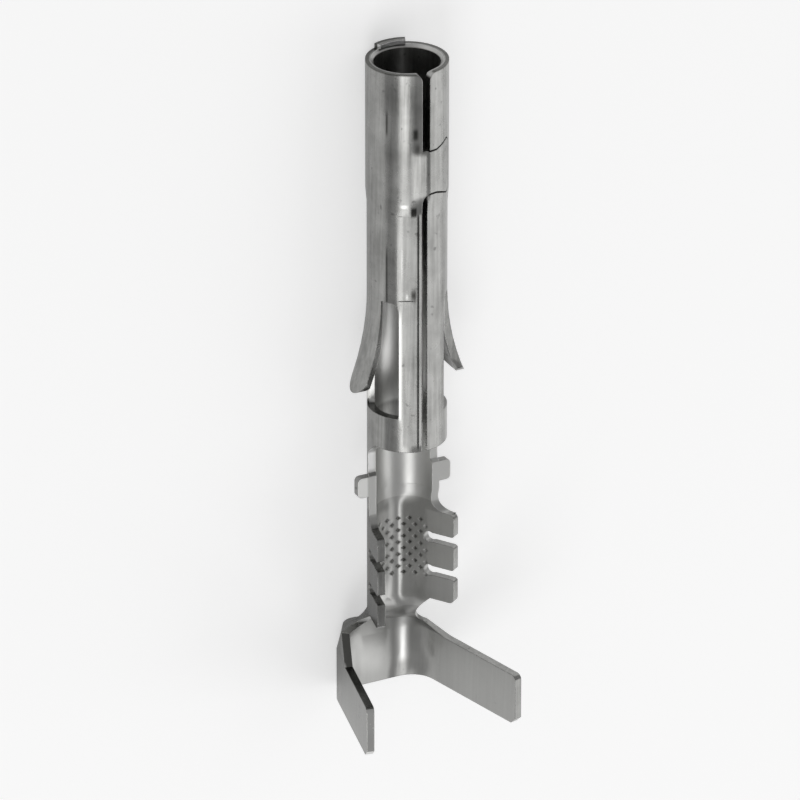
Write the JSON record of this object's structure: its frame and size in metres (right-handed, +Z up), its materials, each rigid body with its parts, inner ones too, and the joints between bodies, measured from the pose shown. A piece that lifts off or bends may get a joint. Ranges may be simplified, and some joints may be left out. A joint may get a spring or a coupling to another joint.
{
  "type": "crimp socket contact",
  "caption": "Crimp socket contact: a rolled barrel with a dovetail-locked seam and springy locking tines, an open serrated wire crimp and a taller insulation crimp behind it.",
  "frame": {"origin": "centre of the bounding box's bottom face; the contact lies on its back", "axes": "+X along the length from the mouth to the wire end, raised 2.4 degrees by the deeper insulation crimp; +Z up, out of the open side of the crimps and the seam; +Y across"},
  "size_m": [0.025, 0.006, 0.0054],
  "materials": {
    "tin_plated_brass": "satin tin plate over brass, bright grey"
  },
  "bodies": {
    "root": {"socket_contact": "tin_plated_brass"}
  },
  "joints": []
}
